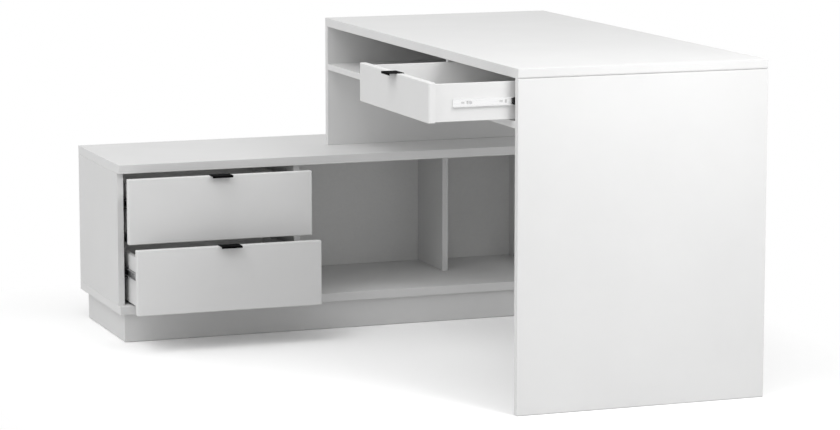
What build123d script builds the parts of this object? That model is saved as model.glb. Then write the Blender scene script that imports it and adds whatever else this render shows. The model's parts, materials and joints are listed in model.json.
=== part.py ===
from build123d import *
import os

# Corner desk: a sideboard along X at the back and a desk along Y that stands across it.
# Origin: middle of the floor under the whole piece. +Z is up and -Y is the near end of the desk.

# Overall sizes
sideboard_length = 1200.0
sideboard_depth = 400.0
sideboard_height = 442.0
desk_width = 600.0
desk_length = 1315.0
desk_height = 767.0
desk_overlap = 203.0        # how far the desk top reaches back over the sideboard

# Boards
top_thickness = 22.0        # both tops and the sideboard's bottom board
upright_thickness = 16.0    # sides, dividers, shelf, plinth and desk back
panel_thickness = 18.0      # end panel and far panel
back_thickness = 3.0        # nailed back of the sideboard
edge_radius = 1.2           # eased edging of every board
foot_radius = 3.0           # lower edges of the boards that stand on the floor
soft_edge_radius = 5.0      # lower edge of the desk top's near end

# Sideboard layout
plinth_height = 70.0
plinth_side_inset = 12.0
plinth_front_inset = 8.0
plinth_back_inset = 34.0
drawer_bay_width = 437.0
half_divider_at = 923.0     # from the sideboard's left end
half_divider_setback = 213.0

# Desk layout
desk_bay_width = 456.0
compartment_height = 94.0

# Drawer fronts
front_thickness = 16.0
front_end_radius = 3.0      # upright edges of a sideboard front's face
desk_end_radius = 6.0       # upright edges of the desk front's face
front_face_radius = 2.0     # its upper and lower edges
front_gap = 3.0             # above, below and between fronts
front_reveal = 1.0          # overlay front short of the upright's outer face, each side
inset_gap = 2.0             # beside the desk's inset front
closing_gap = 1.5           # buffer space between a closed front and the uprights

# Drawer boxes
box_board = 12.0
box_edge_radius = 0.6
box_bottom = 3.0
box_bottom_rise = 8.0       # underside of the bottom above the sides' lower edge
groove_depth = 6.0
groove_clearance = 0.2
box_rear_room = 4.0         # box behind the rear end of its inner runner

sideboard_side_room = 39.5  # how much lower the sides are than the front
upper_side_lift = 11.0      # sides' lower edge above the front's lower edge
lower_side_lift = 3.5
sideboard_runner_rise = 75.0    # runner's middle above the sides' lower edge
sideboard_rear_room = 27.5  # behind the outer runners
sideboard_inner_setback = 2.0
sideboard_extension = 250.0
upper_pulled = 86.0
lower_pulled = 159.0

desk_side_room = 6.0
desk_side_lift = 1.0
desk_runner_rise = 40.0
desk_rear_room = 70.5
desk_inner_setback = 44.0
desk_extension = 350.0
desk_pulled = 200.0

# Ball-bearing runners
runner_space = 12.5         # between an upright and the drawer side
runner_sheet = 1.2
outer_height = 27.0
outer_lip = 9.5
inner_height = 17.0
inner_lip = 7.0
outer_setback = 2.0         # behind the uprights' front edges
stop_length = 12.0
stop_web = 1.5
sliding_clearance = 0.3
cage_sheet = 0.6
cage_lip = 6.6
cage_end_clearance = 2.0
ball_seat = 5.0             # ball centre from the face of the drawer side
ball_pitch = 20.0
ball_clearance = 0.15
slot_width = 4.4
slot_length = 7.5
slot_stations = (23.0, 112.0)
slot_rear_station = 60.0    # from the inner runner's rear end
cross_slot_step = 11.0
round_hole_step = 18.0
outer_hole_inset = 37.0     # from both ends of an outer runner

# Handles
handle_width = 52.0
handle_sheet = 1.5
handle_reach = 18.0
handle_lip = 5.0
handle_flange = 20.0
handle_bend_radius = 0.7
handle_screw_spacing = 32.0

# Fasteners
drill_clearance = 0.1
drill_depth_clearance = 0.5
dowel_radius = 4.0
dowel_length = 30.0
dowel_inset = 30.0
cam_radius = 7.5
cam_skin = 3.5              # board left behind a cam disc
cam_flush = 0.2
cam_inset = 62.0
cam_setback = 24.0
cam_bolt_radius = 3.0
cam_bolt_bite = 10.0
confirmat_radius = 3.0
confirmat_length = 50.0
confirmat_head_radius = 5.0
confirmat_head = 4.0
box_screw_radius = 2.0
box_screw_length = 38.0
box_screw_head_radius = 4.0
box_screw_head = 2.5
box_fastener_inset = 20.0
nail_radius = 0.7
nail_length = 20.0
nail_head_radius = 2.0
nail_head = 0.8
nail_inset = 40.0
pan_radius = 1.75
pan_length = 10.0
pan_head_radius = 3.4
pan_head = 1.2

# Planes that the boards share
x_left = -sideboard_length / 2
x_right = sideboard_length / 2
x_desk = x_right - desk_width
overall_depth = sideboard_depth + desk_length - desk_overlap
y_back = overall_depth / 2
y_front = y_back - sideboard_depth
y_near = -overall_depth / 2
y_far = y_near + desk_length
upright_setback = front_thickness + closing_gap
y_upright = y_front + upright_setback
y_inner_back = y_back - back_thickness
y_end_inner = y_near + panel_thickness
y_far_inner = y_far - panel_thickness
x_left_inner = x_left + upright_thickness
x_right_inner = x_right - upright_thickness
x_divider = x_left_inner + drawer_bay_width
x_half = x_left + half_divider_at
x_upright = x_desk + upright_setback
y_shelf_divider = y_end_inner + desk_bay_width
z_bottom_top = plinth_height + top_thickness
z_sideboard_under = sideboard_height - top_thickness
z_desk_under = desk_height - top_thickness
z_shelf_top = z_desk_under - compartment_height
z_shelf_under = z_shelf_top - upright_thickness

right = Vector(1, 0, 0)
away = Vector(0, 1, 0)
up = Vector(0, 0, 1)
left = right * -1
near = away * -1
down = up * -1


def block(x0, x1, y0, y1, z0, z1):
    """Plain box between two corners."""
    return Pos((x0 + x1) / 2, (y0 + y1) / 2, (z0 + z1) / 2) * Box(x1 - x0, y1 - y0, z1 - z0)


def board(x0, x1, y0, y1, z0, z1, radius=edge_radius):
    """Board with all its edges eased."""
    blank = block(x0, x1, y0, y1, z0, z1)
    return fillet(blank.edges(), radius)


def softened(blank, run, soft, radius):
    """Blank with the soft edges along one direction rounded to the radius and every other edge eased."""
    kept = [edge.center() for edge in blank.edges().filter_by(run) if edge not in soft]
    blank = fillet(soft, radius)
    ends = blank.faces().sort_by(run)
    along = [edge for edge in blank.edges().filter_by(run) if edge.center() in kept]
    return fillet(ends[0].edges() + ends[-1].edges() + along, edge_radius)


def standing_board(run, *corners):
    """Board on edge along one direction, with its lower edges rounded for the floor."""
    blank = block(*corners)
    return softened(blank, run, blank.edges().filter_by(run).group_by(Axis.Z)[0], foot_radius)


def soft_ended_top(*corners):
    """Board whose near end is rounded below."""
    blank = block(*corners)
    lower = blank.edges().filter_by(Axis.X).group_by(Axis.Z)[0]
    return softened(blank, Axis.X, lower.sort_by(Axis.Y)[:1], soft_edge_radius)


def rod(radius, start, end):
    """Round rod from one point to another."""
    run = end - start
    bar = Cylinder(radius, run.length, align=(Align.CENTER, Align.CENTER, Align.MIN))
    return Plane(origin=start, z_dir=run) * bar


def meet(p, q):
    """Whether two bounding boxes reach into each other."""
    spans = ((p.min.X, p.max.X, q.min.X, q.max.X),
             (p.min.Y, p.max.Y, q.min.Y, q.max.Y),
             (p.min.Z, p.max.Z, q.min.Z, q.max.Z))
    return all(low_p < high_q and low_q < high_p for low_p, high_p, low_q, high_q in spans)


class Hardware:
    """Fasteners of one body by kind, and the holes that its boards need for them."""

    def __init__(self):
        self.pieces = {}
        self.holes = []

    def add(self, kind, piece, *holes):
        self.pieces.setdefault(kind, []).append(piece)
        self.add_holes(holes)

    def add_holes(self, holes):
        self.holes.extend((hole, hole.bounding_box()) for hole in holes)

    def dowel(self, point, axis):
        """Wooden dowel, half in each of two boards that meet at the point."""
        half = axis * (dowel_length / 2)
        deep = axis * (dowel_length / 2 + drill_depth_clearance)
        hole = rod(dowel_radius + drill_clearance, point - deep, point + deep)
        self.add("dowels", rod(dowel_radius, point - half, point + half), hole)

    def cam(self, point, into, face, thickness):
        """Cam disc in the face of a board, and its bolt through the board's edge into the next board."""
        centre = point - into * cam_setback
        mouth = centre + face * (thickness / 2)
        floor = mouth - face * (thickness - cam_skin)
        tip = point + into * cam_bolt_bite
        bolt = rod(cam_bolt_radius, centre, tip)
        bolt_hole = rod(cam_bolt_radius + drill_clearance, centre, tip + into * drill_depth_clearance)
        disc = rod(cam_radius, mouth - face * cam_flush, floor) - bolt_hole
        pocket = rod(cam_radius + drill_clearance, mouth, floor)
        self.add("discs", disc, pocket)
        self.add("bolts", bolt, bolt_hole)

    def sunk_screw(self, kind, point, axis, radius, length, head_radius, head):
        """Screw or nail whose head is let in flush with the face at the point."""
        neck = point + axis * head
        tip = point + axis * length
        piece = rod(head_radius, point, neck) + rod(radius, point, tip)
        head_hole = rod(head_radius + drill_clearance, point, neck)
        hole = rod(radius + drill_clearance, point, tip + axis * drill_depth_clearance)
        self.add(kind, piece, head_hole, hole)

    def confirmat(self, point, axis):
        self.sunk_screw("confirmats", point, axis, confirmat_radius, confirmat_length,
                        confirmat_head_radius, confirmat_head)

    def nail(self, point, axis):
        self.sunk_screw("nails", point, axis, nail_radius, nail_length, nail_head_radius, nail_head)

    def pan_screw(self, point, axis):
        """Screw whose round head stands on the sheet at the point."""
        tip = point + axis * pan_length
        piece = rod(pan_head_radius, point - axis * pan_head, point) + rod(pan_radius, point, tip)
        hole = rod(pan_radius + drill_clearance, point, tip + axis * drill_depth_clearance)
        self.add("pan_screws", piece, hole)

    def drill(self, piece):
        """The piece with a hole wherever one of these fasteners passes."""
        box = piece.bounding_box()
        hits = [hole for hole, hole_box in self.holes if meet(box, hole_box)]
        return piece - hits if hits else piece

    def group(self, *kinds):
        """All fasteners of the given kinds as one group of solids."""
        return Compound(children=[piece for kind in kinds for piece in self.pieces[kind]])


def between(start, end, inset):
    """The two places that lie one inset from the ends of a joint."""
    return start + inset, end - inset


def carcass_boards():
    """Every fixed board of the sideboard and the desk, before drilling."""
    plinth_x0 = x_left + plinth_side_inset
    plinth_x1 = x_right - plinth_side_inset
    plinth_y0 = y_front + plinth_front_inset
    plinth_y1 = y_back - plinth_back_inset
    rail = upright_thickness
    rail_y0, rail_y1 = plinth_y0 + rail, plinth_y1 - rail
    y_half = y_front + half_divider_setback
    return {
        "sideboard_top": board(x_left, x_right, y_front, y_back, z_sideboard_under, sideboard_height),
        "sideboard_bottom": board(x_left, x_right, y_front, y_back, plinth_height, z_bottom_top),
        "sideboard_left_side": board(x_left, x_left_inner, y_upright, y_inner_back,
                                     z_bottom_top, z_sideboard_under),
        "sideboard_right_side": board(x_right_inner, x_right, y_upright, y_inner_back,
                                      z_bottom_top, z_sideboard_under),
        "drawer_divider": board(x_divider, x_divider + upright_thickness, y_upright, y_inner_back,
                                z_bottom_top, z_sideboard_under),
        "half_divider": board(x_half, x_half + upright_thickness, y_half, y_inner_back,
                              z_bottom_top, z_sideboard_under),
        "sideboard_back": board(x_left, x_right, y_inner_back, y_back, z_bottom_top, z_sideboard_under),
        "plinth_front": standing_board(Axis.X, plinth_x0, plinth_x1, plinth_y0, rail_y0, 0, plinth_height),
        "plinth_back": standing_board(Axis.X, plinth_x0, plinth_x1, rail_y1, plinth_y1, 0, plinth_height),
        "plinth_left": standing_board(Axis.Y, plinth_x0, plinth_x0 + rail, rail_y0, rail_y1,
                                      0, plinth_height),
        "plinth_right": standing_board(Axis.Y, plinth_x1 - rail, plinth_x1, rail_y0, rail_y1,
                                       0, plinth_height),
        "desk_top": soft_ended_top(x_desk, x_right, y_near, y_far, z_desk_under, desk_height),
        "end_panel": standing_board(Axis.X, x_desk, x_right, y_near, y_end_inner, 0, z_desk_under),
        "far_panel": board(x_desk, x_right, y_far_inner, y_far, sideboard_height, z_desk_under),
        "desk_shelf": board(x_desk, x_right_inner, y_end_inner, y_far_inner, z_shelf_under, z_shelf_top),
        "shelf_divider": board(x_upright, x_right_inner, y_shelf_divider, y_shelf_divider + upright_thickness,
                               z_shelf_top, z_desk_under),
        "desk_back": board(x_right_inner, x_right, y_end_inner, y_far_inner, z_shelf_under, z_desk_under),
    }


def join_sideboard(kit):
    """Dowels, cams, screws and nails of the sideboard."""
    half = upright_thickness / 2
    y_half = y_front + half_divider_setback
    uprights = ((x_left + half, y_upright, right), (x_divider + half, y_upright, left),
                (x_half + half, y_half, right), (x_right - half, y_upright, left))
    z_middle = (z_bottom_top + z_sideboard_under) / 2
    z_nails = (z_bottom_top + nail_inset, z_middle, z_sideboard_under - nail_inset)
    for x, y_start, face in uprights:
        for y in between(y_start, y_inner_back, dowel_inset):
            kit.dowel(Vector(x, y, z_sideboard_under), up)
            kit.dowel(Vector(x, y, z_bottom_top), up)
        for y in between(y_start, y_inner_back, cam_inset):
            kit.cam(Vector(x, y, z_sideboard_under), up, face, upright_thickness)
            kit.confirmat(Vector(x, y, plinth_height), up)
        for z in z_nails:
            kit.nail(Vector(x, y_back, z), near)


def join_plinth(kit):
    """Dowels that hold the plinth frame under the bottom board."""
    half = upright_thickness / 2
    plinth_x = between(x_left, x_right, plinth_side_inset + half)
    plinth_y = (y_front + plinth_front_inset + half, y_back - plinth_back_inset - half)
    for y in plinth_y:
        for x in between(plinth_x[0], plinth_x[1], cam_inset):
            kit.dowel(Vector(x, y, plinth_height), up)
    for x in plinth_x:
        for y in between(plinth_y[0], plinth_y[1], cam_inset):
            kit.dowel(Vector(x, y, plinth_height), up)


def join_desk(kit):
    """Dowels, cams and screws of the desk, and of the far panel on the sideboard."""
    half = panel_thickness / 2
    y_divider = y_shelf_divider + upright_thickness / 2
    z_shelf = z_shelf_top - upright_thickness / 2
    x_back = x_right - upright_thickness / 2
    under_top = ((y_near + half, x_desk, x_right, away, panel_thickness),
                 (y_far - half, x_desk, x_right, away, panel_thickness),
                 (y_divider, x_upright, x_right_inner, near, upright_thickness))
    for y, x_start, x_end, face, thickness in under_top:
        for x in between(x_start, x_end, dowel_inset):
            kit.dowel(Vector(x, y, z_desk_under), up)
        for x in between(x_start, x_end, cam_inset):
            kit.cam(Vector(x, y, z_desk_under), up, face, thickness)
    for x in between(x_desk, x_right_inner, dowel_inset):
        kit.dowel(Vector(x, y_end_inner, z_shelf), away)
        kit.dowel(Vector(x, y_far_inner, z_shelf), away)
        kit.dowel(Vector(x, y_far - half, sideboard_height), up)
    for x in between(x_desk, x_right_inner, cam_inset):
        kit.cam(Vector(x, y_end_inner, z_shelf), near, down, upright_thickness)
        kit.cam(Vector(x, y_far_inner, z_shelf), away, down, upright_thickness)
        kit.confirmat(Vector(x, y_far - half, z_sideboard_under), up)
    for x in between(x_upright, x_right_inner, cam_inset):
        kit.confirmat(Vector(x, y_divider, z_shelf_under), up)
    for y in between(y_end_inner, y_far_inner, cam_inset):
        kit.confirmat(Vector(x_right, y, z_shelf), left)
        kit.dowel(Vector(x_back, y, z_desk_under), up)


class Drawer:
    """One drawer with its runners.

    Its own frame has X across the bay from the bay's middle, Y from the uprights' front edges
    inwards, and Z from the lower edge of the front. It is drawn pulled out by the given travel.
    """

    def __init__(self, place, bay, front_width, front_height, end_radius, side_room, side_lift,
                 runner_rise, outer_length, inner_length, inner_setback, extension, pulled):
        self.place = place
        self.half_bay = bay / 2
        self.front_width = front_width
        self.front_height = front_height
        self.end_radius = end_radius
        self.z_side = side_lift
        self.z_side_top = side_lift + front_height - side_room
        self.z_runner = side_lift + runner_rise
        self.half_box = bay / 2 - runner_space
        self.y_box = -closing_gap - pulled
        self.y_box_rear = self.y_box + inner_setback + inner_length + box_rear_room
        self.y_inner = self.y_box + inner_setback
        self.inner_length = inner_length
        self.outer_length = outer_length
        cage_closed = outer_setback + stop_length + cage_end_clearance + extension / 2
        cage_rear = inner_setback - closing_gap + inner_length - extension / 2 - cage_end_clearance
        self.cage_length = cage_rear - cage_closed
        self.y_cage = cage_closed - pulled / 2
        self.moving = Hardware()
        self.fixed = Hardware()

    def beside(self, side, t0, t1, y0, y1, z0, z1):
        """Box at one side of the bay; t runs from the upright and z from the runner's middle."""
        xs = sorted((side * (self.half_bay - t0), side * (self.half_bay - t1)))
        return block(xs[0], xs[1], y0, y1, self.z_runner + z0, self.z_runner + z1)

    def channel(self, side, web0, web1, lip0, lip1, y0, y1, height, sheet):
        """C-shaped sheet: a web and two lips, open across the bay."""
        half = height / 2
        shape = self.beside(side, web0, web1, y0, y1, -half, half)
        shape += self.beside(side, lip0, lip1, y0, y1, half - sheet, half)
        shape += self.beside(side, lip0, lip1, y0, y1, -half, sheet - half)
        return shape

    def outer_runner(self, side):
        """Runner fixed to the upright, with its screws."""
        y0, y1 = outer_setback, outer_setback + self.outer_length
        shape = self.channel(side, 0, runner_sheet, 0, outer_lip, y0, y1, outer_height, runner_sheet)
        for y in between(y0, y1, outer_hole_inset):
            point = Vector(side * (self.half_bay - runner_sheet), y, self.z_runner)
            self.fixed.pan_screw(point, right * side)
        return self.fixed.drill(shape)

    def end_stop(self, side):
        """Plastic stop in the mouth of the outer runner, which the inner runner passes through."""
        mouth = outer_height / 2 - runner_sheet
        rim = mouth - inner_height / 2 - sliding_clearance
        y1 = outer_setback + stop_length
        web_end = runner_sheet + stop_web
        return self.channel(side, runner_sheet, web_end, runner_sheet, outer_lip,
                            outer_setback, y1, 2 * mouth, rim)

    def inner_runner(self, side):
        """Runner fixed to the drawer side, with slots and its screws."""
        y0, y1 = self.y_inner, self.y_inner + self.inner_length
        lip_start = runner_space - inner_lip
        shape = self.channel(side, runner_space - runner_sheet, runner_space, lip_start, runner_space,
                             y0, y1, inner_height, runner_sheet)
        stations = [y0 + step for step in slot_stations] + [y1 - slot_rear_station]
        half_long, half_wide = slot_length / 2, slot_width / 2
        for y in stations:
            y_cross = y + cross_slot_step
            shape -= self.beside(side, lip_start, runner_space, y - half_long, y + half_long,
                                 -half_wide, half_wide)
            shape -= self.beside(side, lip_start, runner_space, y_cross - half_wide, y_cross + half_wide,
                                 -half_long, half_long)
        for y in (stations[0], stations[-1]):
            point = Vector(side * (self.half_box + runner_sheet), y + round_hole_step, self.z_runner)
            self.moving.pan_screw(point, left * side)
        return self.moving.drill(shape)

    def ball_cage(self, side):
        """Cage strip between the two runners, and its balls in a row along each lip."""
        gap_middle = (outer_height / 2 - runner_sheet + inner_height / 2) / 2
        ball_radius = (outer_height / 2 - runner_sheet - inner_height / 2) / 2 - sliding_clearance
        t_ball = runner_space - ball_seat
        t_lip = t_ball + ball_radius
        t_web = t_lip - cage_lip
        y0, y1 = self.y_cage, self.y_cage + self.cage_length
        strip = self.channel(side, t_web, t_web + cage_sheet, t_web, t_lip, y0, y1,
                             2 * gap_middle + cage_sheet, cage_sheet)
        count = int(self.cage_length // ball_pitch)
        first = (y0 + y1 - (count - 1) * ball_pitch) / 2
        balls = []
        for row in (-1, 1):
            for index in range(count):
                centre = Vector(side * (self.half_bay - t_ball), first + index * ball_pitch,
                                self.z_runner + row * gap_middle)
                reach = up * cage_lip / 2
                strip -= rod(ball_radius + ball_clearance, centre - reach, centre + reach)
                balls.append(Pos(centre) * Sphere(ball_radius))
        return [strip] + balls

    def front(self):
        """Front board with rounded corners and softened face edges."""
        half = self.front_width / 2
        blank = block(-half, half, self.y_box - front_thickness, self.y_box, 0, self.front_height)
        blank = fillet(blank.edges().filter_by(Axis.Z).group_by(Axis.Y)[0], self.end_radius)
        rims = [face.edges().sort_by(Axis.Y)[:-1] for face in blank.faces().filter_by(Axis.Z)]
        blank = fillet(rims[0] + rims[1], front_face_radius)
        return fillet(blank.faces().sort_by(Axis.Y)[-1].edges(), box_edge_radius)

    def side_board(self, side):
        xs = sorted((side * self.half_box, side * (self.half_box - box_board)))
        return board(xs[0], xs[1], self.y_box, self.y_box_rear, self.z_side, self.z_side_top, box_edge_radius)

    def back_board(self):
        half = self.half_box - box_board
        return board(-half, half, self.y_box_rear - box_board, self.y_box_rear, self.z_side, self.z_side_top,
                     box_edge_radius)

    def bottom_board(self, clearance=0.0):
        """Thin bottom that slides into grooves all round; with a clearance, the space of those grooves."""
        reach = groove_depth - groove_clearance + clearance
        half = self.half_box - box_board + reach
        z0 = self.z_side + box_bottom_rise
        return block(-half, half, self.y_box - reach, self.y_box_rear - box_board + reach,
                     z0 - clearance, z0 + box_bottom + clearance)

    def handle(self):
        """Bent sheet hooked over the front's upper edge, with a lip to pull on."""
        y_flange = self.y_box + handle_sheet
        y_lip = self.y_box - front_thickness - handle_reach
        z_top = self.front_height + handle_sheet
        half = handle_width / 2
        shape = block(-half, half, y_lip, y_flange, self.front_height, z_top)
        shape += block(-half, half, self.y_box, y_flange, self.front_height - handle_flange, z_top)
        shape += block(-half, half, y_lip, y_lip + handle_sheet, z_top - handle_lip, z_top)
        bends = shape.edges().filter_by(Axis.X).group_by(Axis.Z)[-1]
        shape = fillet(bends, handle_bend_radius)
        for x in (-handle_screw_spacing / 2, handle_screw_spacing / 2):
            point = Vector(x, y_flange, self.front_height - handle_flange / 2)
            self.moving.pan_screw(point, near)
        return self.moving.drill(shape)

    def join_box(self):
        """Cams between front and sides, and screws through the sides into the back."""
        y_rear = self.y_box_rear - box_board / 2
        for side in (-1, 1):
            for z in between(self.z_side, self.z_side_top, box_fastener_inset):
                middle = side * (self.half_box - box_board / 2)
                self.moving.cam(Vector(middle, self.y_box, z), near, left * side, box_board)
                self.moving.sunk_screw("box_screws", Vector(side * self.half_box, y_rear, z), left * side,
                                       box_screw_radius, box_screw_length,
                                       box_screw_head_radius, box_screw_head)

    def nodes(self, name):
        """Every piece by node name, in the shared frame; the carcass holes are drilled by the caller."""
        hands = {"left": -1, "right": 1}
        shapes = {}
        for hand, side in hands.items():
            shapes[f"{hand}_outer_runner"] = self.outer_runner(side)
            shapes[f"{hand}_inner_runner"] = self.inner_runner(side)
        shapes["handle"] = self.handle()
        self.join_box()
        groove = self.bottom_board(groove_clearance)
        shapes["front"] = self.moving.drill(self.front() - groove)
        for hand, side in hands.items():
            shapes[f"{hand}_side"] = self.moving.drill(self.side_board(side) - groove)
        shapes["back"] = self.moving.drill(self.back_board() - groove)
        shapes["bottom"] = self.bottom_board()
        shapes["fasteners"] = self.moving.group("pan_screws", "discs", "bolts", "box_screws")
        cages = [piece for side in hands.values() for piece in self.ball_cage(side)]
        shapes["ball_cages"] = Compound(children=cages)
        return {f"{name}_{key}": self.place * shape for key, shape in shapes.items()}

    def carcass_pieces(self):
        """End stops, and the screws of the outer runners with their holes, in the shared frame."""
        stops = [self.place * self.end_stop(side) for side in (-1, 1)]
        screws = [self.place * screw for screw in self.fixed.pieces["pan_screws"]]
        holes = [self.place * hole for hole, _ in self.fixed.holes]
        return stops, screws, holes


def sideboard_drawer(level, side_lift, pulled):
    """Overlay drawer in the sideboard, level 0 being the lower one."""
    opening = z_sideboard_under - z_bottom_top
    height = (opening - front_gap * 3) / 2
    z_front = z_bottom_top + front_gap + level * (height + front_gap)
    width = drawer_bay_width + 2 * (upright_thickness - front_reveal)
    place = Pos(x_left_inner + drawer_bay_width / 2, y_upright, z_front)
    length = y_inner_back - sideboard_rear_room - y_upright - outer_setback
    return Drawer(place, drawer_bay_width, width, height, front_end_radius, sideboard_side_room, side_lift,
                  sideboard_runner_rise, length, length, sideboard_inner_setback, sideboard_extension, pulled)


def desk_drawer():
    """Inset drawer under the desk top, opening towards -X."""
    width = desk_bay_width - 2 * inset_gap
    height = compartment_height - 2 * front_gap
    place = Pos(x_upright, y_end_inner + desk_bay_width / 2, z_shelf_top + front_gap) * Rot(0, 0, -90)
    outer_length = x_right_inner - desk_rear_room - x_upright - outer_setback
    inner_length = outer_length - desk_inner_setback
    return Drawer(place, desk_bay_width, width, height, desk_end_radius, desk_side_room, desk_side_lift,
                  desk_runner_rise, outer_length, inner_length, desk_inner_setback, desk_extension,
                  desk_pulled)


def build():
    """All nodes by name."""
    drawers = {
        "upper_drawer": sideboard_drawer(1, upper_side_lift, upper_pulled),
        "lower_drawer": sideboard_drawer(0, lower_side_lift, lower_pulled),
        "desk_drawer": desk_drawer(),
    }
    kit = Hardware()
    join_sideboard(kit)
    join_plinth(kit)
    join_desk(kit)
    shapes = {}
    end_stops = []
    runner_screws = []
    for name, drawer in drawers.items():
        shapes.update(drawer.nodes(name))
        stops, screws, holes = drawer.carcass_pieces()
        end_stops.extend(stops)
        runner_screws.extend(screws)
        kit.add_holes(holes)
    for name, shape in carcass_boards().items():
        shapes[name] = kit.drill(shape)
    shapes["carcass_dowels"] = kit.group("dowels")
    shapes["cam_discs"] = kit.group("discs")
    shapes["cam_bolts"] = kit.group("bolts")
    shapes["confirmat_screws"] = kit.group("confirmats")
    shapes["back_panel_nails"] = kit.group("nails")
    shapes["runner_end_stops"] = Compound(children=end_stops)
    shapes["runner_screws"] = Compound(children=runner_screws)
    return shapes


os.makedirs("parts", exist_ok=True)
for node, shape in build().items():
    export_step(shape, os.path.join("parts", f"{node}.step"))
    print(node, len(shape.solids()))
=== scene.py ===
import json
import math
import bpy
import numpy as np
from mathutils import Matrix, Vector


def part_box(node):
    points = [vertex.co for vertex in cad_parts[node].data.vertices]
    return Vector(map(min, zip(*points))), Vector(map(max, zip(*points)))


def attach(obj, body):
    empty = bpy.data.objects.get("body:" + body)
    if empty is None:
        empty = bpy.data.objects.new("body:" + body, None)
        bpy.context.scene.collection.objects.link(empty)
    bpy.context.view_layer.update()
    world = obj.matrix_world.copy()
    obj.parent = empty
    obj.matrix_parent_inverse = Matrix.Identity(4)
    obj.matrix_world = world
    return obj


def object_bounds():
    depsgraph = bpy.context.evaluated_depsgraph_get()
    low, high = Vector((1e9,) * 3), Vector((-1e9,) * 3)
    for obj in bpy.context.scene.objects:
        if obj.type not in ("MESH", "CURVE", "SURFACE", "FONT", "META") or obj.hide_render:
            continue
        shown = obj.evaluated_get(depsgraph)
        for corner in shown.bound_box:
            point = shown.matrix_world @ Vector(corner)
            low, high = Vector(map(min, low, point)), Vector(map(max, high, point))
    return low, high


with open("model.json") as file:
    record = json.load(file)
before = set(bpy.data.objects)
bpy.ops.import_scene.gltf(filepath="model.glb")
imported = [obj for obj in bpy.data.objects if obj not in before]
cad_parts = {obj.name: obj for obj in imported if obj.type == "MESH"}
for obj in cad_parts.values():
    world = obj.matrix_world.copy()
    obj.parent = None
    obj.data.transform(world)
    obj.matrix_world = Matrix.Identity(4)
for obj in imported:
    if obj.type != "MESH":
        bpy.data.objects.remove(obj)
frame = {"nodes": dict(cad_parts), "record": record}        # packed corner desk: nodes and record, in metres
cadLow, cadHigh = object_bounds()
nodes = frame["nodes"]
mm = 0.001
print("frame loaded:", len(nodes), "nodes")


# node helpers

def addNode(tree, kind, links=None, values=None, **settings):  # one node, wired and set
    node = tree.nodes.new(kind)
    for key, setting in settings.items():
        setattr(node, key, setting)
    for key, source in (links or {}).items():
        tree.links.new(source, node.inputs[key])
    for key, value in (values or {}).items():
        node.inputs[key].default_value = value
    return node


def newMaterial(name):  # material with its tree, Principled shader and Object coordinates
    material = bpy.data.materials.new(name)
    material.use_nodes = True
    tree = material.node_tree
    shader = tree.nodes["Principled BSDF"]
    coords = addNode(tree, "ShaderNodeTexCoord")
    return material, tree, shader, coords


def noise(tree, vector, scale, detail, rough):
    node = addNode(tree, "ShaderNodeTexNoise", {"Vector": vector},
                   {"Scale": scale, "Detail": detail, "Roughness": rough})
    return node.outputs["Fac"]


def spread(tree, source, low, high, fromLow=0.3, fromHigh=0.7):  # remaps a noise or a given range
    node = addNode(tree, "ShaderNodeMapRange", {"Value": source},
                   {"From Min": fromLow, "From Max": fromHigh, "To Min": low, "To Max": high})
    return node.outputs["Result"]


def math2(tree, operation, first, second):  # sum, product and so on of two values or sockets
    node = addNode(tree, "ShaderNodeMath", operation=operation)
    for index, item in enumerate((first, second)):
        if isinstance(item, bpy.types.NodeSocket):
            tree.links.new(item, node.inputs[index])
        else:
            node.inputs[index].default_value = item
    return node.outputs["Value"]


def tone(tree, factor, dark, light):  # colour between two shades
    node = addNode(tree, "ShaderNodeMix", {"Factor": factor}, data_type="RGBA")
    node.inputs["A"].default_value = (*dark, 1.0)
    node.inputs["B"].default_value = (*light, 1.0)
    return node.outputs["Result"]


def bump(tree, shader, height, strength, distance):
    node = addNode(tree, "ShaderNodeBump", {"Height": height},
                   {"Strength": strength, "Distance": distance})
    tree.links.new(node.outputs["Normal"], shader.inputs["Normal"])


def stretched(tree, coords, scale):  # Object coordinates, drawn out along some axes
    node = addNode(tree, "ShaderNodeMapping", {"Vector": coords.outputs["Object"]}, {"Scale": scale})
    return node.outputs["Vector"]


def paint(tree, shader, pattern, look):  # base colour between the look's two shades
    shade = tone(tree, spread(tree, pattern, 0.0, 1.0), look["dark"], look["light"])
    tree.links.new(shade, shader.inputs["Base Color"])


def roughen(tree, shader, pattern, look):
    tree.links.new(spread(tree, pattern, *look["rough"]), shader.inputs["Roughness"])


def seenDirectly(tree):  # 1 for rays of the eye, in reflections and through clear things, else 0
    path = addNode(tree, "ShaderNodeLightPath")
    seen = math2(tree, "MAXIMUM", path.outputs["Is Camera Ray"], path.outputs["Is Glossy Ray"])
    return math2(tree, "MAXIMUM", seen, path.outputs["Is Transmission Ray"])


# finishes: a pattern is a noise's scale, detail and roughness; a relief is a bump's strength and depth

boardLook = {
    "light": (0.768, 0.768, 0.766),
    "dark": (0.748, 0.748, 0.746),
    "cloud": (5.0, 4.0, 0.6),
    "pearl": (620.0, 3.0, 0.55),
    "faceRough": (0.50, 0.58),
    "bandRough": 0.42,
    "bandToFace": (0.55, 0.9),  # share of the normal along the thickness
    "sheen": 0.08,
    "relief": (0.5, 0.03 * mm),
}


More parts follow.
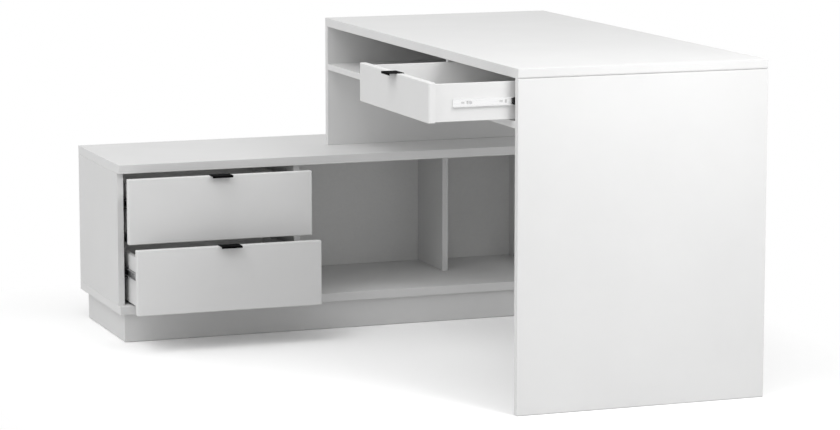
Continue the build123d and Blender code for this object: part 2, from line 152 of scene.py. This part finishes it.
def melamine(name, axis):  # matt board; its edge bands, across the thickness axis, are glossier
    look = boardLook
    material, tree, shader, coords = newMaterial(name)
    cloud = noise(tree, coords.outputs["Object"], *look["cloud"])
    paint(tree, shader, cloud, look)
    pearl = noise(tree, coords.outputs["Object"], *look["pearl"])
    split = addNode(tree, "ShaderNodeSeparateXYZ", {"Vector": coords.outputs["Normal"]})
    facing = addNode(tree, "ShaderNodeMath", {0: split.outputs[axis]}, operation="ABSOLUTE")
    onFace = spread(tree, facing.outputs["Value"], 0.0, 1.0, *look["bandToFace"])
    faceRough = spread(tree, pearl, *look["faceRough"])
    rough = math2(tree, "MULTIPLY", onFace, math2(tree, "SUBTRACT", faceRough, look["bandRough"]))
    tree.links.new(math2(tree, "ADD", rough, look["bandRough"]), shader.inputs["Roughness"])
    shader.inputs["Specular IOR Level"].default_value = look["sheen"]
    bump(tree, shader, math2(tree, "MULTIPLY", pearl, onFace), *look["relief"])
    return material


hardboardLook = {
    "light": (0.840, 0.840, 0.835),
    "dark": (0.800, 0.800, 0.795),
    "fibres": (160.0, 5.0, 0.7),
    "rough": (0.48, 0.62),
    "relief": (0.4, 0.05 * mm),
}


def hardboard(name):  # thin lacquered board with a faint felt of fibres
    look = hardboardLook
    material, tree, shader, coords = newMaterial(name)
    felt = noise(tree, coords.outputs["Object"], *look["fibres"])
    paint(tree, shader, felt, look)
    roughen(tree, shader, felt, look)
    bump(tree, shader, felt, *look["relief"])
    return material


powderLook = {
    "light": (0.006, 0.006, 0.0063),
    "dark": (0.003, 0.003, 0.0032),
    "peel": (1400.0, 2.0, 0.5),
    "rough": (0.55, 0.68),
    "sheen": 0.005,
    "relief": (0.6, 0.04 * mm),
}


def powderCoat(name):  # matt black powder coat with its fine orange peel
    look = powderLook
    material, tree, shader, coords = newMaterial(name)
    peel = noise(tree, coords.outputs["Object"], *look["peel"])
    paint(tree, shader, peel, look)
    roughen(tree, shader, peel, look)
    shader.inputs["Specular IOR Level"].default_value = look["sheen"]
    bump(tree, shader, peel, *look["relief"])
    return material


brightSteelLook = {           # plated inner runners of the desk drawer
    "light": (0.97, 0.97, 0.97),
    "dark": (0.90, 0.90, 0.905),
    "drawLines": (900.0, 3.0, 0.5),
    "drawStretch": 0.02,
    "rough": (0.20, 0.30),
    "relief": (0.3, 0.003 * mm),
}
shadedInnerSteelLook = {             # painted shade: the desk's plated steel darkened to grey for the shade inside the sideboard, on its inner runners
    **brightSteelLook,
    "light": (0.38, 0.38, 0.385),
    "dark": (0.30, 0.30, 0.305),
    "rough": (0.42, 0.52),
    "relief": (0.3, 0.01 * mm),
}
shadowedOuterSteelLook = {             # painted shade: the same plated steel darkened to near black for the shade around the outer runners
    **brightSteelLook,
    "light": (0.085, 0.085, 0.087),
    "dark": (0.045, 0.045, 0.047),
    "rough": (0.40, 0.55),
    "relief": (0.3, 0.01 * mm),
}


def rolledSteel(name, axis, look):  # rolled strip, with fine draw lines along the axis
    material, tree, shader, coords = newMaterial(name)
    scale = [1.0, 1.0, 1.0]
    scale["XYZ".index(axis)] = look["drawStretch"]
    lines = noise(tree, stretched(tree, coords, scale), *look["drawLines"])
    paint(tree, shader, lines, look)
    roughen(tree, shader, lines, look)
    shader.inputs["Metallic"].default_value = 1.0
    bump(tree, shader, lines, *look["relief"])
    return material


plasticLook = {
    "light": (0.014, 0.014, 0.0145),
    "dark": (0.009, 0.009, 0.0095),
    "grain": (2200.0, 2.0, 0.6),
    "rough": (0.50, 0.65),
    "sheen": 0.15,
    "relief": (0.5, 0.03 * mm),
}


def mouldedPlastic(name):  # black moulded plastic with a spark-eroded grain
    look = plasticLook
    material, tree, shader, coords = newMaterial(name)
    grain = noise(tree, coords.outputs["Object"], *look["grain"])
    paint(tree, shader, grain, look)
    roughen(tree, shader, grain, look)
    shader.inputs["Specular IOR Level"].default_value = look["sheen"]
    bump(tree, shader, grain, *look["relief"])
    return material


zincLook = {
    "light": (0.74, 0.74, 0.75),
    "dark": (0.52, 0.52, 0.53),
    "mottle": (420.0, 4.0, 0.65),
    "rough": (0.30, 0.50),
    "relief": (0.3, 0.02 * mm),
}


def castZinc(name):  # mottled zinc of cams, screws and nails
    look = zincLook
    material, tree, shader, coords = newMaterial(name)
    mottle = noise(tree, coords.outputs["Object"], *look["mottle"])
    paint(tree, shader, mottle, look)
    roughen(tree, shader, mottle, look)
    shader.inputs["Metallic"].default_value = 1.0
    bump(tree, shader, mottle, *look["relief"])
    return material


beechLook = {
    "light": (0.62, 0.42, 0.25),
    "dark": (0.45, 0.28, 0.15),
    "flecks": (260.0, 4.0, 0.6),
    "fleckStretch": (1.0, 1.0, 0.15),
    "rough": (0.55, 0.70),
}


def beech(name):  # dowel wood with short flecks
    look = beechLook
    material, tree, shader, coords = newMaterial(name)
    fleck = noise(tree, stretched(tree, coords, look["fleckStretch"]), *look["flecks"])
    paint(tree, shader, fleck, look)
    roughen(tree, shader, fleck, look)
    return material


def thicknessAxis(name):  # the shortest side of a board's box
    low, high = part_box(name)
    sides = high - low
    return "XYZ"[min(range(3), key=lambda k: sides[k])]


def lengthAxis(name):
    low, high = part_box(name)
    sides = high - low
    return "XYZ"[max(range(3), key=lambda k: sides[k])]


boardFinish = {axis: melamine("whiteMelamine" + axis, axis) for axis in "XYZ"}
brightSteel = {axis: rolledSteel("brightRunnerSteel" + axis, axis, brightSteelLook) for axis in "XY"}
# painted shade: a grey copy of the plated runner steel for the sideboard's inner runners
shadedInnerSteel = {axis: rolledSteel("shadedInnerRunnerSteel" + axis, axis, shadedInnerSteelLook) for axis in "XY"}
# painted shade: a near-black copy of the runner steel for the outer runners
shadowedOuterSteel = {axis: rolledSteel("shadowedOuterRunnerSteel" + axis, axis, shadowedOuterSteelLook) for axis in "XY"}
slotFinish = {
    "white_hardboard": hardboard("whiteHardboard"),
    "black_handle": powderCoat("blackPowderCoat"),
    "black_plastic": mouldedPlastic("blackPlastic"),
    "zinc_fitting": castZinc("zincFitting"),
    "beech_dowel": beech("beechDowel"),
}


def finishFor(name, slot):
    if slot == "white_board":
        return boardFinish[thicknessAxis(name)]
    if slot == "runner_steel":
        # the sideboard's inner runners take the darker copy of the same steel, with painted shade
        innerSteel = brightSteel if name.startswith("desk") else shadedInnerSteel
        # outer runners take the near-black copy, with painted shade
        steel = innerSteel if name.endswith("inner_runner") else shadowedOuterSteel
        return steel[lengthAxis(name)]
    return slotFinish[slot]


for subpart in frame["record"]["subparts"]:
    mesh = nodes[subpart["node"]].data
    mesh.materials.clear()
    mesh.materials.append(finishFor(subpart["node"], subpart["material_slot"]))


# release levers in the runners

leverLook = {                 # start is measured from the inner runner's front end
    "start": {"upper_drawer": 172.0 * mm, "lower_drawer": 172.0 * mm, "desk_drawer": 138.5 * mm},
    "length": 42.0 * mm,
    "stations": 43,
    "tail": 0.45,             # height of the tail beside the head's
    "narrowing": (0.40, 0.72),
    "ribs": 7,                # on the thumb pad, along the wide head
    "ribHeight": 0.2 * mm,
    "edge": 0.2 * mm,
    "edgeSegments": 2,
}
leverSection = np.array([     # depth into the runner and height, in mm: pad outside the lips, block inside
    (-0.9, -8.3), (-0.1, -8.3), (-0.1, -6.9), (5.5, -6.6),
    (5.5, 6.6), (-0.1, 6.9), (-0.1, 8.3), (-0.9, 8.3),
]) * mm


def sweepMesh(name, rings):  # closed skin over rings of points, with a flat cap on each end
    count, around = rings.shape[:2]
    index = np.arange(count * around).reshape(count, around)
    turned = np.roll(index, -1, axis=1)
    skin = np.stack([index[:-1], turned[:-1], turned[1:], index[1:]], axis=-1).reshape(-1, 4)
    faces = skin.tolist() + [index[0, ::-1].tolist(), index[-1].tolist()]
    mesh = bpy.data.meshes.new(name)
    mesh.from_pydata(rings.reshape(-1, 3).tolist(), [], faces)
    piece = bpy.data.objects.new(name, mesh)
    bpy.context.scene.collection.objects.link(piece)
    return piece


def smoothStep(value, low, high):
    ramp = np.clip((value - low) / (high - low), 0.0, 1.0)
    return ramp * ramp * (3.0 - 2.0 * ramp)


def releaseLever(drawer, side):
    # section carried along the runner: its height falls from the head to the tail in a smooth step,
    # and the pad's outer face rises in sine ribs along the head
    look = leverLook
    low, high = (np.array(corner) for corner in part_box(f"{drawer}_{side}_inner_runner"))
    middle = (low + high) / 2
    boxLow, boxHigh = (np.array(corner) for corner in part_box(f"{drawer}_bottom"))
    along = int(np.argmax(high - low))       # the drawer opens towards the low end of this axis
    across = 1 - along
    inward = np.sign(((boxLow + boxHigh) / 2 - middle)[across])
    lipEdge = low[across] if inward > 0 else high[across]
    step = np.linspace(0.0, 1.0, look["stations"])
    height = 1.0 - (1.0 - look["tail"]) * smoothStep(step, *look["narrowing"])
    onHead = np.clip(step / look["narrowing"][0], 0.0, 1.0)
    rib = look["ribHeight"] * np.sin(math.pi * look["ribs"] * onHead) ** 2
    onPad = leverSection[:, 0] == leverSection[:, 0].min()
    rings = np.empty((look["stations"], len(leverSection), 3))
    rings[..., along] = low[along] + look["start"][drawer] + look["length"] * step[:, None]
    rings[..., across] = lipEdge + inward * (leverSection[:, 0] - rib[:, None] * onPad)
    rings[..., 2] = middle[2] + leverSection[:, 1] * height[:, None]
    if (inward > 0) != (along == 0):         # keeps the faces outward on every side
        rings = rings[:, ::-1]
    lever = sweepMesh(f"{drawer}_{side}_release_lever", rings)
    bevel = lever.modifiers.new("edge", "BEVEL")
    bevel.width = look["edge"]
    bevel.segments = look["edgeSegments"]
    lever.data.materials.append(slotFinish["black_plastic"])
    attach(lever, drawer)


for drawer in ("upper_drawer", "lower_drawer", "desk_drawer"):
    for side in ("left", "right"):
        releaseLever(drawer, side)
print("release levers made")


# stage, lamps and camera

stageLook = {
    "half": 60.0,
    "seen": 1.15,             # floor colour to the eye
    "bounce": 0.72,           # floor colour to bounced light
    "rough": 0.9,
    "shadowRoom": (0.06, 0.45),  # from the object's box outwards, the floor turns plain white to the eye
}


def studioFloor():  # wide plane on z = 0; brighter to the eye than to bounced light
    half = stageLook["half"]
    corners = np.array([(-1, -1, 0), (1, -1, 0), (1, 1, 0), (-1, 1, 0)], float) * half
    mesh = bpy.data.meshes.new("floor")
    mesh.from_pydata(corners.tolist(), [], [(0, 1, 2, 3)])
    floor = bpy.data.objects.new("floor", mesh)
    bpy.context.scene.collection.objects.link(floor)
    material, tree, shader, coords = newMaterial("paleFloor")
    seen = seenDirectly(tree)
    grey = stageLook["bounce"]
    white = stageLook["seen"]
    tree.links.new(tone(tree, seen, (grey, grey, grey), (white, white, white)), shader.inputs["Base Color"])
    shader.inputs["Roughness"].default_value = stageLook["rough"]
    shader.inputs["Specular IOR Level"].default_value = 0.0
    # distance outside the object's box: length of max(|p - centre| - half sizes, 0)
    away = coords.outputs["Object"]
    for operation, operand in (("SUBTRACT", (cadLow + cadHigh) / 2), ("ABSOLUTE", None),
                               ("SUBTRACT", (cadHigh - cadLow) / 2), ("MAXIMUM", Vector())):
        step = addNode(tree, "ShaderNodeVectorMath", {0: away}, operation=operation)
        if operand is not None:
            step.inputs[1].default_value = operand
        away = step.outputs["Vector"]
    reach = addNode(tree, "ShaderNodeVectorMath", {0: away}, operation="LENGTH")
    ring = spread(tree, reach.outputs["Value"], 0.0, 1.0, *stageLook["shadowRoom"])
    plain = addNode(tree, "ShaderNodeEmission")
    blend = addNode(tree, "ShaderNodeMixShader", {0: math2(tree, "MULTIPLY", ring, seen),
                                                  1: shader.outputs["BSDF"], 2: plain.outputs["Emission"]})
    tree.links.new(blend.outputs["Shader"], tree.nodes["Material Output"].inputs["Surface"])
    mesh.materials.append(material)


lampLook = {  # place, aim, width, height in metres and watts
    "leftSteepBank": ((-2.5, -0.8, 5.5), (-0.3, 0.2, 0.3), 2.5, 2.5, 63.0),
    "leftHighBank": ((-4.0, -3.0, 5.0), (0.0, 0.0, 0.4), 3.0, 3.0, 42.0),
    "leftBank": ((-5.0, -1.5, 2.5), (0.0, 0.0, 0.4), 4.0, 3.0, 28.0),
    "leftFarBank": ((-4.0, 3.0, 4.0), (0.0, 0.0, 0.4), 3.0, 3.0, 21.0),
    "frontHighBank": ((-0.5, -3.0, 6.0), (-0.1, 0.2, 0.3), 3.0, 3.0, 23.5),
    "rightBank": ((5.0, -2.0, 2.5), (0.0, 0.0, 0.4), 4.0, 3.0, 12.0),
    "panelHighLamp": ((0.8, -2.4, 2.4), (0.3, -0.75, 0.5), 1.0, 1.0, 24.0),
    "panelNearLamp": ((0.4, -1.5, 1.05), (0.38, -0.75, 0.62), 0.5, 0.5, 2.4),
}
skyLook = {"seen": 1.0, "fill": 0.52}


def studioLamps():
    for name, (place, aim, width, height, watts) in lampLook.items():
        lamp = bpy.data.lights.new(name, "AREA")
        lamp.shape = "RECTANGLE"
        lamp.size = width
        lamp.size_y = height
        lamp.energy = watts
        holder = bpy.data.objects.new(name, lamp)
        holder.location = place
        holder.rotation_euler = (Vector(aim) - Vector(place)).to_track_quat("-Z", "Y").to_euler()
        holder.visible_camera = False
        holder.visible_glossy = not name.startswith("panel")  # the panel lamps don't mirror in the desk top
        bpy.context.scene.collection.objects.link(holder)


def studioSky():  # white to the eye and in reflections, a grey fill to the rest
    world = bpy.data.worlds.new("paleSky")
    bpy.context.scene.world = world
    world.use_nodes = True
    tree = world.node_tree
    backdrop = tree.nodes["Background"]
    seen = seenDirectly(tree)
    backdrop.inputs["Color"].default_value = (1.0, 1.0, 1.0, 1.0)
    strength = spread(tree, seen, skyLook["fill"], skyLook["seen"], 0.0, 1.0)
    tree.links.new(strength, backdrop.inputs["Strength"])


cameraLook = {
    "place": (-2.5439, -7.0590, 1.4913),
    "headingDeg": 20.19,      # from +Y towards +X
    "pitchDeg": 8.73,         # below the horizon
    "lens": 135.47,
    "sensor": 36.0,
    "farthest": 200.0,
}


def photoCamera():
    look = cameraLook
    data = bpy.data.cameras.new("photoCamera")
    data.lens = look["lens"]
    data.sensor_width = look["sensor"]
    data.clip_end = look["farthest"]
    camera = bpy.data.objects.new("photoCamera", data)
    camera.location = look["place"]
    camera.rotation_euler = (math.radians(90.0 - look["pitchDeg"]), 0.0, -math.radians(look["headingDeg"]))
    bpy.context.scene.collection.objects.link(camera)
    bpy.context.scene.camera = camera


studioFloor()
studioLamps()
studioSky()
photoCamera()
bpy.context.scene.view_settings.view_transform = "Standard"
print("stage, lamps and camera set")
